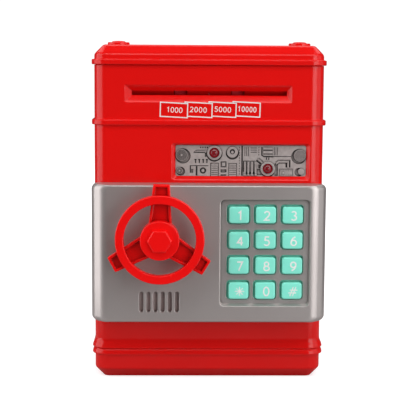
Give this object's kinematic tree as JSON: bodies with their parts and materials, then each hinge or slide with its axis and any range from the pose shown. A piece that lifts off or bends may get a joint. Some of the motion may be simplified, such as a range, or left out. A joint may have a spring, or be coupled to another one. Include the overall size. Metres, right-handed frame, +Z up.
{
  "type": "toy cash-machine savings bank",
  "caption": "Small red safe-style money bank with a note slot, relief window, swinging silver door with keypad and latch wheel, coin slot and battery bay.",
  "frame": {"origin": "centre of the housing's base face, on the table", "axes": "+X to the right seen from the front, +Y to the back, +Z up; the door faces -Y"},
  "size_m": [0.133, 0.131, 0.1927],
  "materials": {
    "housing_red": "glossy moulded ABS",
    "inner_red": "satin moulded ABS",
    "door_silver": "satin silver paint on ABS",
    "key_mint": "satin moulded keys",
    "panel_grey": "satin grey relief moulding",
    "lens_red": "clear red lens",
    "led_clear": "clear epoxy",
    "board_green": "coated circuit board",
    "silicone_pale": "silicone",
    "steel": "plated steel",
    "shaft_nylon": "natural nylon",
    "cell_case": "plain wrapped cell",
    "black_plastic": "black moulding",
    "roller_rubber": "soft dusty red rubber"
  },
  "bodies": {
    "root": {"body_shell": "housing_red", "top_lid": "housing_red", "base_tray": "housing_red", "window_panel": "panel_grey", "indicator_lenses": "lens_red", "indicator_leds": "led_clear", "indicator_board": "board_green", "feeder_frame": "inner_red", "note_guide_lower": "inner_red", "note_guide_upper": "inner_red", "note_sensor": "black_plastic", "motor": "steel", "idler_axle": "steel", "coin_chute": "inner_red", "chamber_floor": "inner_red", "control_board": "board_green", "battery_cells": "cell_case", "battery_contacts": "steel", "strike_plate": "steel", "hinge_pins": "steel", "housing_screws": "steel"},
    "door": {"door_shell": "door_silver", "door_back": "door_silver", "keypad_membrane": "silicone_pale", "keypad_board": "board_green", "speaker": "black_plastic", "lock_solenoid": "black_plastic", "wheel_bush": "shaft_nylon", "door_screws": "steel"},
    "wheel": {"hand_wheel": "housing_red", "hub_cap": "housing_red", "wheel_shaft": "shaft_nylon", "lock_disc": "steel", "latch_tongue": "steel", "latch_screw": "steel"},
    "lock_plunger": {"lock_plunger": "steel"},
    "battery_cover": {"battery_cover": "housing_red", "battery_screw": "steel"},
    "drive_roller": {"drive_shaft": "steel", "drive_tyres": "roller_rubber", "drive_gears": "shaft_nylon"},
    "pinch_roller": {"pinch_shaft": "steel", "pinch_tyres": "roller_rubber", "pinch_gear": "shaft_nylon"},
    "idler": {"idler_gear": "shaft_nylon"},
    "motor_pinion": {"motor_pinion": "shaft_nylon"},
    "key_1": {"key_1": "key_mint"},
    "key_2": {"key_2": "key_mint"},
    "key_3": {"key_3": "key_mint"},
    "key_4": {"key_4": "key_mint"},
    "key_5": {"key_5": "key_mint"},
    "key_6": {"key_6": "key_mint"},
    "key_7": {"key_7": "key_mint"},
    "key_8": {"key_8": "key_mint"},
    "key_9": {"key_9": "key_mint"},
    "key_star": {"key_star": "key_mint"},
    "key_0": {"key_0": "key_mint"},
    "key_hash": {"key_hash": "key_mint"}
  },
  "joints": [
    {"name": "door_swing", "type": "hinge", "parent": "root", "child": "door", "pos_m": [0.061, -0.052, 0.0745], "axis": [0, 0, 1], "range_deg": [0, 95]},
    {"name": "wheel_turn", "type": "hinge", "parent": "door", "child": "wheel", "pos_m": [-0.027, -0.0615, 0.0846], "axis": [0, 1, 0], "range_deg": [0, 90]},
    {"name": "plunger_slide", "type": "slide", "parent": "door", "child": "lock_plunger", "axis": [-1, 0, 0], "range_m": [0, 0.003], "stiffness_N_per_m": 60},
    {"name": "battery_cover_out", "type": "slide", "parent": "root", "child": "battery_cover", "axis": [0, 0, -1], "range_m": [0, 0.02]},
    {"name": "drive_roller_spin", "type": "hinge", "parent": "root", "child": "drive_roller", "pos_m": [0, -0.034, 0.156], "axis": [1, 0, 0], "continuous": true},
    {"name": "pinch_roller_spin", "type": "hinge", "parent": "root", "child": "pinch_roller", "pos_m": [0, -0.034, 0.1662], "axis": [1, 0, 0], "continuous": true},
    {"name": "idler_spin", "type": "hinge", "parent": "root", "child": "idler", "pos_m": [0.053, -0.02636, 0.14836], "axis": [1, 0, 0], "continuous": true},
    {"name": "motor_spin", "type": "hinge", "parent": "root", "child": "motor_pinion", "pos_m": [0.05, -0.02636, 0.13756], "axis": [1, 0, 0], "continuous": true},
    {"name": "key_1_press", "type": "slide", "parent": "door", "child": "key_1", "axis": [0, 1, 0], "range_m": [0, 0.0013], "stiffness_N_per_m": 250},
    {"name": "key_2_press", "type": "slide", "parent": "door", "child": "key_2", "axis": [0, 1, 0], "range_m": [0, 0.0013], "stiffness_N_per_m": 250},
    {"name": "key_3_press", "type": "slide", "parent": "door", "child": "key_3", "axis": [0, 1, 0], "range_m": [0, 0.0013], "stiffness_N_per_m": 250},
    {"name": "key_4_press", "type": "slide", "parent": "door", "child": "key_4", "axis": [0, 1, 0], "range_m": [0, 0.0013], "stiffness_N_per_m": 250},
    {"name": "key_5_press", "type": "slide", "parent": "door", "child": "key_5", "axis": [0, 1, 0], "range_m": [0, 0.0013], "stiffness_N_per_m": 250},
    {"name": "key_6_press", "type": "slide", "parent": "door", "child": "key_6", "axis": [0, 1, 0], "range_m": [0, 0.0013], "stiffness_N_per_m": 250},
    {"name": "key_7_press", "type": "slide", "parent": "door", "child": "key_7", "axis": [0, 1, 0], "range_m": [0, 0.0013], "stiffness_N_per_m": 250},
    {"name": "key_8_press", "type": "slide", "parent": "door", "child": "key_8", "axis": [0, 1, 0], "range_m": [0, 0.0013], "stiffness_N_per_m": 250},
    {"name": "key_9_press", "type": "slide", "parent": "door", "child": "key_9", "axis": [0, 1, 0], "range_m": [0, 0.0013], "stiffness_N_per_m": 250},
    {"name": "key_star_press", "type": "slide", "parent": "door", "child": "key_star", "axis": [0, 1, 0], "range_m": [0, 0.0013], "stiffness_N_per_m": 250},
    {"name": "key_0_press", "type": "slide", "parent": "door", "child": "key_0", "axis": [0, 1, 0], "range_m": [0, 0.0013], "stiffness_N_per_m": 250},
    {"name": "key_hash_press", "type": "slide", "parent": "door", "child": "key_hash", "axis": [0, 1, 0], "range_m": [0, 0.0013], "stiffness_N_per_m": 250}
  ],
  "couplings": [
    {"joint": "pinch_roller_spin", "follows": "drive_roller_spin", "ratio": -1},
    {"joint": "idler_spin", "follows": "drive_roller_spin", "ratio": -2.6},
    {"joint": "motor_spin", "follows": "drive_roller_spin", "ratio": 6.76}
  ]
}
